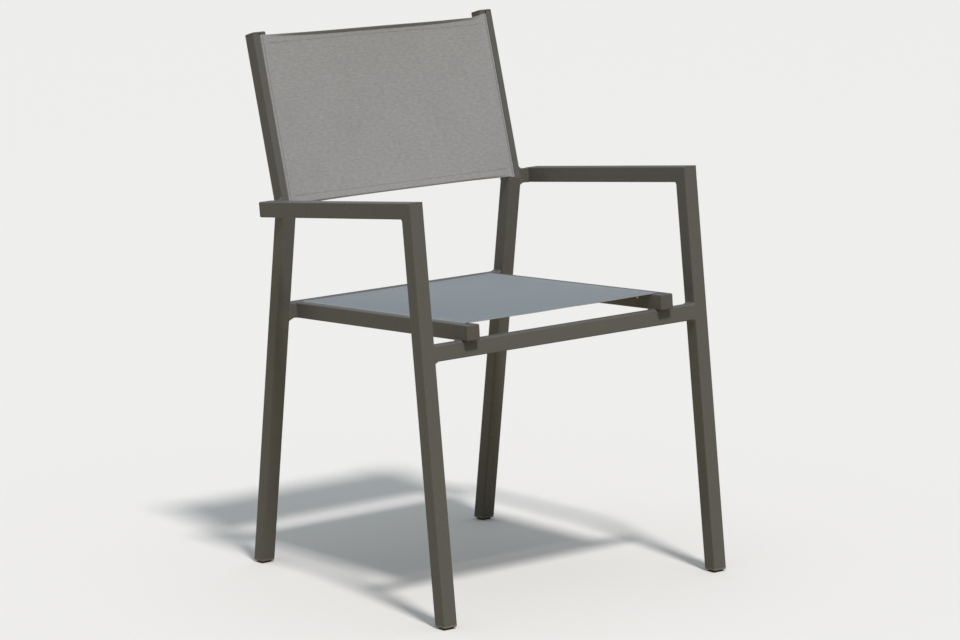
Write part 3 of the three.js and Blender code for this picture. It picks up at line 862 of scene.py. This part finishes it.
def mitre_weld(name, x, point, first, second):
    """A dressed weld round a mitre. point is on both members' face lines, and first and second are
    (length direction away from the mitre, face normal) of the two members."""
    bisect = (first[1] + second[1]).normalized()
    stretch = 1 / bisect.dot(first[1])
    flush = chair().frame.weld_flush
    sections = []
    for across, depth, nx, ny in TUBE:
        spot = point + RIGHT * (x + across) + bisect * ((depth - TUBE_SIZE / 2) * stretch)
        out = RIGHT * nx + bisect * ny
        # It is a fillet on the hollow side of the bend, and dressed nearly level on the other sides.
        reach, rise = MITRE_FILLET if ny < -0.5 else (MITRE_REACH, flush)
        # From its foot up: shares of the reach, and heights.
        toe = ((1, -0.35 * MM), (1, 0.02 * MM), (0.6, rise * 0.55))
        halves = [[spot + run * reach * share + (RIGHT * nx + up * ny) * height for share, height in toe]
                  for run, up in (first, second)]
        sections.append([spot - out * MITRE_ROOT, *halves[0], spot + out * rise, *halves[1][::-1]])
    return bead(name, sections, True)


# Operators

SENSOR = 36  # mm: width of the sensor that the lens is given for
CLIP = 0.05, 200  # metres from the camera within which things are seen
FLOOR_RADIUS, FLOOR_SIDES = 60, 96
SKY_FULL = 0.9  # height of the sky, on a unit sphere, from which its light is full


class StudioStage(bpy.types.Operator):
    """Sets up the camera, the lamps, the floor and the colour management"""
    bl_idname = "sling_chair.studio_stage"
    bl_label = "Studio stage"

    def execute(self, context):
        s = chair().stage
        scene = context.scene
        forward = Vector((math.sin(s.yaw) * math.cos(s.pitch), math.cos(s.yaw) * math.cos(s.pitch),
                          math.sin(s.pitch)))
        level = Vector((math.cos(s.yaw), -math.sin(s.yaw), 0))
        upward = level.cross(forward)
        right = level * math.cos(s.roll) + upward * math.sin(s.roll)
        up = upward * math.cos(s.roll) - level * math.sin(s.roll)
        data = bpy.data.cameras.new("photo_camera")
        data.sensor_width, data.lens = SENSOR, s.lens
        data.shift_x, data.shift_y = s.shift
        data.clip_start, data.clip_end = CLIP
        turn = Matrix((right, up, -forward)).transposed().to_4x4()
        scene.camera = new_object("photo_camera", data, Matrix.Translation(s.place) @ turn)

        lamp = bpy.data.lights.new("key_light", "SUN")
        lamp.energy, lamp.angle = s.key, s.softness
        new_object("key_light", lamp, Vector(s.key_from).to_track_quat("Z", "Y").to_matrix().to_4x4())

        world = bpy.data.worlds.new("studio_air")
        world.use_nodes = True
        tree = world.node_tree
        tree.nodes.clear()
        height = add(tree, "SeparateXYZ", {0: add(tree, "TexCoord").outputs["Generated"]}).outputs["Z"]
        dome = spread(tree, height, 0.0, SKY_FULL, s.side_fill, s.fill)
        fill = add(tree, "Background", {"Color": s.fill_tint, "Strength": dome})
        white = add(tree, "Background", {"Color": s.backdrop, "Strength": 1.0})
        mix = add(tree, "MixShader", {0: seen_directly(tree), 1: fill.outputs[0], 2: white.outputs[0]})
        add(tree, "OutputWorld", {"Surface": mix.outputs[0]})
        scene.world = world
        scene.view_settings.view_transform = "Standard"

        work = bmesh.new()
        bmesh.ops.create_circle(work, cap_ends=True, segments=FLOOR_SIDES, radius=FLOOR_RADIUS)
        mesh = bpy.data.meshes.new("studio_floor")
        work.to_mesh(mesh)
        work.free()
        mesh.materials.append(material_of(pale_floor))
        floor = new_object("studio_floor", mesh)
        return {"FINISHED"}


class CoatedFrame(bpy.types.Operator):
    """Gives every tube and block of the welded frame its powder coat"""
    bl_idname = "sling_chair.coated_frame"
    bl_label = "Coated frame"

    def execute(self, context):
        tubes = both_sides("front_leg", "rear_leg", "arm", "back_upright", "seat_rail")
        finish_nodes(tubes + ["front_crossbar", "rear_crossbar"], powder_coated_aluminium)
        finish_nodes(both_sides("arm_spacer"), powder_coated_aluminium, bevel=0.5 * MM)
        return {"FINISHED"}


class CapsAndFeet(bpy.types.Operator):
    """Gives the end caps, the foot glides and the sole pads their moulded finishes"""
    bl_idname = "sling_chair.caps_and_feet"
    bl_label = "Caps and feet"

    def execute(self, context):
        finish_nodes(both_sides("upright_cap", "seat_rail_cap", "arm_end_cap"), moulded_polyamide)
        finish_nodes(both_sides("front_foot_glide", "rear_foot_glide"), moulded_polyethylene)
        finish_nodes(both_sides("front_foot_pad", "rear_foot_pad"), moulded_rubber)
        return {"FINISHED"}


# The fillets' sizes on the sides of a bar's end, in the order that end_weld takes them. A crown fills the
# fillet out, and a run is the length over which a dressed face comes level.
CROSSBAR_LEGS = (0, 4 * MM, 0, 5.5 * MM)
REAR_CROSSBAR_LEGS = (0, 4 * MM, 0, 6 * MM)
ARM_LEGS, ARM_CROWN = (1.1 * MM, 0.7 * MM, 1.2 * MM, 0.7 * MM), 0.4
KNEE_LEGS, KNEE_RUN = (0, 6 * MM, 3 * MM, 6.5 * MM), 6 * MM
BLOCK_CORNER = 0.6 * MM  # radius of the welds' corners round a spacer block


class WeldBeads(bpy.types.Operator):
    """Models the coated welds at every joint of the frame"""
    bl_idname = "sling_chair.weld_beads"
    bl_label = "Weld beads"

    def execute(self, context):
        s = chair().frame
        leg_up, leg_run, leg_face = member("front_leg_right")
        seat_up, seat_run, seat_face = member("seat_rail_right")
        rear_up, rear_run, rear_face = member("rear_leg_right")
        post_up, post_run, post_face = member("back_upright_right")
        arm_up, arm_run, arm_face = member("arm_right")

        def crossing(n1, f1, n2, f2):
            """The point in side view where two face lines meet."""
            d = n1.y * n2.z - n1.z * n2.y
            return Vector((0, (f1 * n2.z - f2 * n1.z) / d, (n1.y * f2 - n2.y * f1) / d))

        def across_at(part, share):
            """The x of a member, from its inner face at 0 to its outer one at 1, on the side at work."""
            low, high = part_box(part + "_right")
            return sign * (low.x + (high.x - low.x) * share)

        def middle_at(name, part, share):
            """The middle of a node's box, moved to a member's inner or outer face."""
            low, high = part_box(name)
            middle = (low + high) / 2
            return Vector((across_at(part, share), middle.y, middle.z))

        def both_faces(normal, face):
            """A tube's face with that normal and the one opposite, for a weld level with both."""
            return [(normal, face)], [(-normal, TUBE_SIZE - face)]

        for side, sign in SIDES:
            end_weld(f"crossbar_weld_{side}", middle_at("front_crossbar", "front_leg", 0), RIGHT * -sign,
                     leg_up, leg_run, TUBE, CROSSBAR_LEGS, both_faces(leg_up, leg_face))
            end_weld(f"rear_crossbar_weld_{side}", middle_at("rear_crossbar", "rear_leg", 0), RIGHT * -sign,
                     -seat_run, seat_up, TUBE, REAR_CROSSBAR_LEGS, both_faces(rear_up, rear_face))

            # The spacer block: it stands on the arm, and its front flows into the two tubes of the knee.
            block = "arm_spacer_" + side
            low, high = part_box(block)
            outline = bar_outline((high.y - low.y) / 2, (high.z - low.z) / 2, BLOCK_CORNER, 3)
            end_weld(f"arm_weld_{side}", middle_at(block, "arm", 0), RIGHT * -sign, FORE, UP, outline,
                     ARM_LEGS, crown=ARM_CROWN)
            end_weld(f"knee_weld_{side}", middle_at(block, "rear_leg", 1), RIGHT * sign, FORE, UP, outline,
                     KNEE_LEGS, ([(rear_up, rear_face), (post_up, post_face)], None), KNEE_RUN, 0.0)

            rail_low, rail_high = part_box("seat_rail_" + side)
            # Where the rail stops at the rear crossbar.
            spot = seat_run * max(v.dot(seat_run) for v in corners_of("seat_rail_" + side))
            spot += seat_up * (seat_face - TUBE_SIZE / 2) + RIGHT * ((rail_low.x + rail_high.x) / 2)
            end_weld(f"rail_end_weld_{side}", spot, -seat_run, seat_up, RIGHT, TUBE,
                     (0, s.weld_leg, 0, s.weld_leg), both_faces(seat_up, seat_face))
            # Where it lies on the front crossbar: a fillet on each side of it.
            ridge = max(v.dot(leg_run) for v in corners_of("front_crossbar"))
            ends = [leg_run * ridge + leg_up * (leg_face - depth * MM) for depth in (2.5, 22.5)]
            for word, x, way in (("outer", rail_high.x if sign > 0 else rail_low.x, sign),
                                 ("inner", rail_low.x if sign > 0 else rail_high.x, -sign)):
                start, end = [Vector((x, p.y, p.z)) for p in ends]
                fillet_line(f"rail_{word}_weld_{side}", start, end, RIGHT * way, seat_up)

            mitre_weld(f"arm_mitre_weld_{side}", across_at("front_leg", 0.5),
                       crossing(leg_up, leg_face, arm_up, arm_face), (-leg_run, leg_up), (arm_run, arm_up))
            mitre_weld(f"knee_mitre_weld_{side}", across_at("rear_leg", 0.5),
                       crossing(rear_up, rear_face, post_up, post_face), (-rear_run, rear_up),
                       (post_run, post_up))
        return {"FINISHED"}


def dress_sling(word, rail):
    sling = Sling(word, rail)
    cloth, width = sling_cloth(sling)
    sewn = stitches(sling)


class BackSling(bpy.types.Operator):
    """Models the back's woven cloth with its sleeves, hems and stitching"""
    bl_idname = "sling_chair.back_sling"
    bl_label = "Back sling"

    def execute(self, context):
        dress_sling("back", "back_upright")
        return {"FINISHED"}


class SeatSling(bpy.types.Operator):
    """Models the seat's woven cloth with its sleeves, hems and stitching"""
    bl_idname = "sling_chair.seat_sling"
    bl_label = "Seat sling"

    def execute(self, context):
        dress_sling("seat", "seat_rail")
        return {"FINISHED"}


class SlingRods(bpy.types.Operator):
    """Gives the rods inside the sleeves their plastic"""
    bl_idname = "sling_chair.sling_rods"
    bl_label = "Sling rods"

    def execute(self, context):
        finish_nodes(both_sides("back_sling_rod", "seat_sling_rod"), extruded_vinyl_rod)
        return {"FINISHED"}


class LockScrews(bpy.types.Operator):
    """Models the pan-head screws that lock the seat sling in its rails"""
    bl_idname = "sling_chair.lock_screws"
    bl_label = "Lock screws"

    def execute(self, context):
        # A domed head with a cross recess, as shares of its radius, then its rim, underside and shank.
        head_shares = (0.12, 0.2, 0.28, 0.36, 0.44, 0.52, 0.62, 0.74, 0.86, 0.95, 1.0)
        below = ((1.0, 1.55 * MM), (0.97, 1.75 * MM), (0.5, 1.78 * MM), (0.5, None))
        dome, recess, slot_half, slot_reach, fall = 0.75 * MM, 0.8 * MM, 0.42 * MM, 1.7 * MM, 0.2 * MM
        around, flatness = 48, 2.4
        turns = [2 * math.pi * k / around for k in range(around)]
        for side, sign in SIDES:
            node = "sling_lock_screw_" + side
            low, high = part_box(node)
            radius = (high.z - low.z) / 2
            centre_y, centre_z = (low.y + high.y) / 2, (low.z + high.z) / 2
            head, outer = (high.x, low.x) if sign < 0 else (low.x, high.x)
            points = []
            for share in head_shares:
                for turn in turns:
                    y, z = radius * share * math.cos(turn), radius * share * math.sin(turn)
                    near, far = sorted((abs(y), abs(z)))
                    sunk = recess * ease((slot_half - near) / fall) * ease((slot_reach - far) / (1.5 * fall))
                    drop = dome * share ** flatness + sunk
                    points.append(Vector((head + sign * drop, centre_y + y, centre_z + z)))
            for share, depth in below:
                x = outer if depth is None else head + sign * depth
                points += [Vector((x, centre_y + radius * share * math.cos(turn),
                                   centre_z + radius * share * math.sin(turn))) for turn in turns]
            faces = tube_faces(len(points) // around, around, False)
            screw = new_piece("lock_screw_" + side, points, faces, material_of(stainless_steel),
                              edge_angle=38)
            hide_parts(node)
        return {"FINISHED"}


class ChairSettings(bpy.types.PropertyGroup):
    """All settings of the chair and its stage."""
    frame: bpy.props.PointerProperty(type=FrameSettings, name="Frame", description="Frame, caps and feet")
    sling: bpy.props.PointerProperty(type=SlingSettings, name="Slings", description="Cloth and stitching")
    stage: bpy.props.PointerProperty(type=StageSettings, name="Stage", description="Camera and lamps")


OPERATORS = (StudioStage, CoatedFrame, CapsAndFeet, WeldBeads, SlingRods, BackSling, SeatSling, LockScrews)


class ChairPanel(bpy.types.Panel):
    """Lists the chair's settings and the steps that dress it"""
    bl_idname = "VIEW3D_PT_sling_chair"
    bl_label = "Sling Patio Chair"
    bl_space_type = "VIEW_3D"
    bl_region_type = "UI"
    bl_category = "Sling Chair"

    def draw(self, context):
        settings = context.scene.sling_chair
        for group in ("frame", "sling", "stage"):
            box = self.layout.box()
            box.label(text=settings.bl_rna.properties[group].name)
            part = getattr(settings, group)
            for name in part.__annotations__:
                box.prop(part, name)
        for operator in OPERATORS:
            self.layout.operator(operator.bl_idname)


CLASSES = (FrameSettings, SlingSettings, StageSettings, ChairSettings, *OPERATORS, ChairPanel)


def register():
    for kind in CLASSES:
        bpy.utils.register_class(kind)
    bpy.types.Scene.sling_chair = bpy.props.PointerProperty(type=ChairSettings)


def unregister():
    del bpy.types.Scene.sling_chair
    for kind in reversed(CLASSES):
        bpy.utils.unregister_class(kind)


def main():
    register()
    for operator in OPERATORS:
        step = operator.bl_idname.split(".")[1]
        getattr(bpy.ops.sling_chair, step)()


if __name__ == "__main__":
    main()
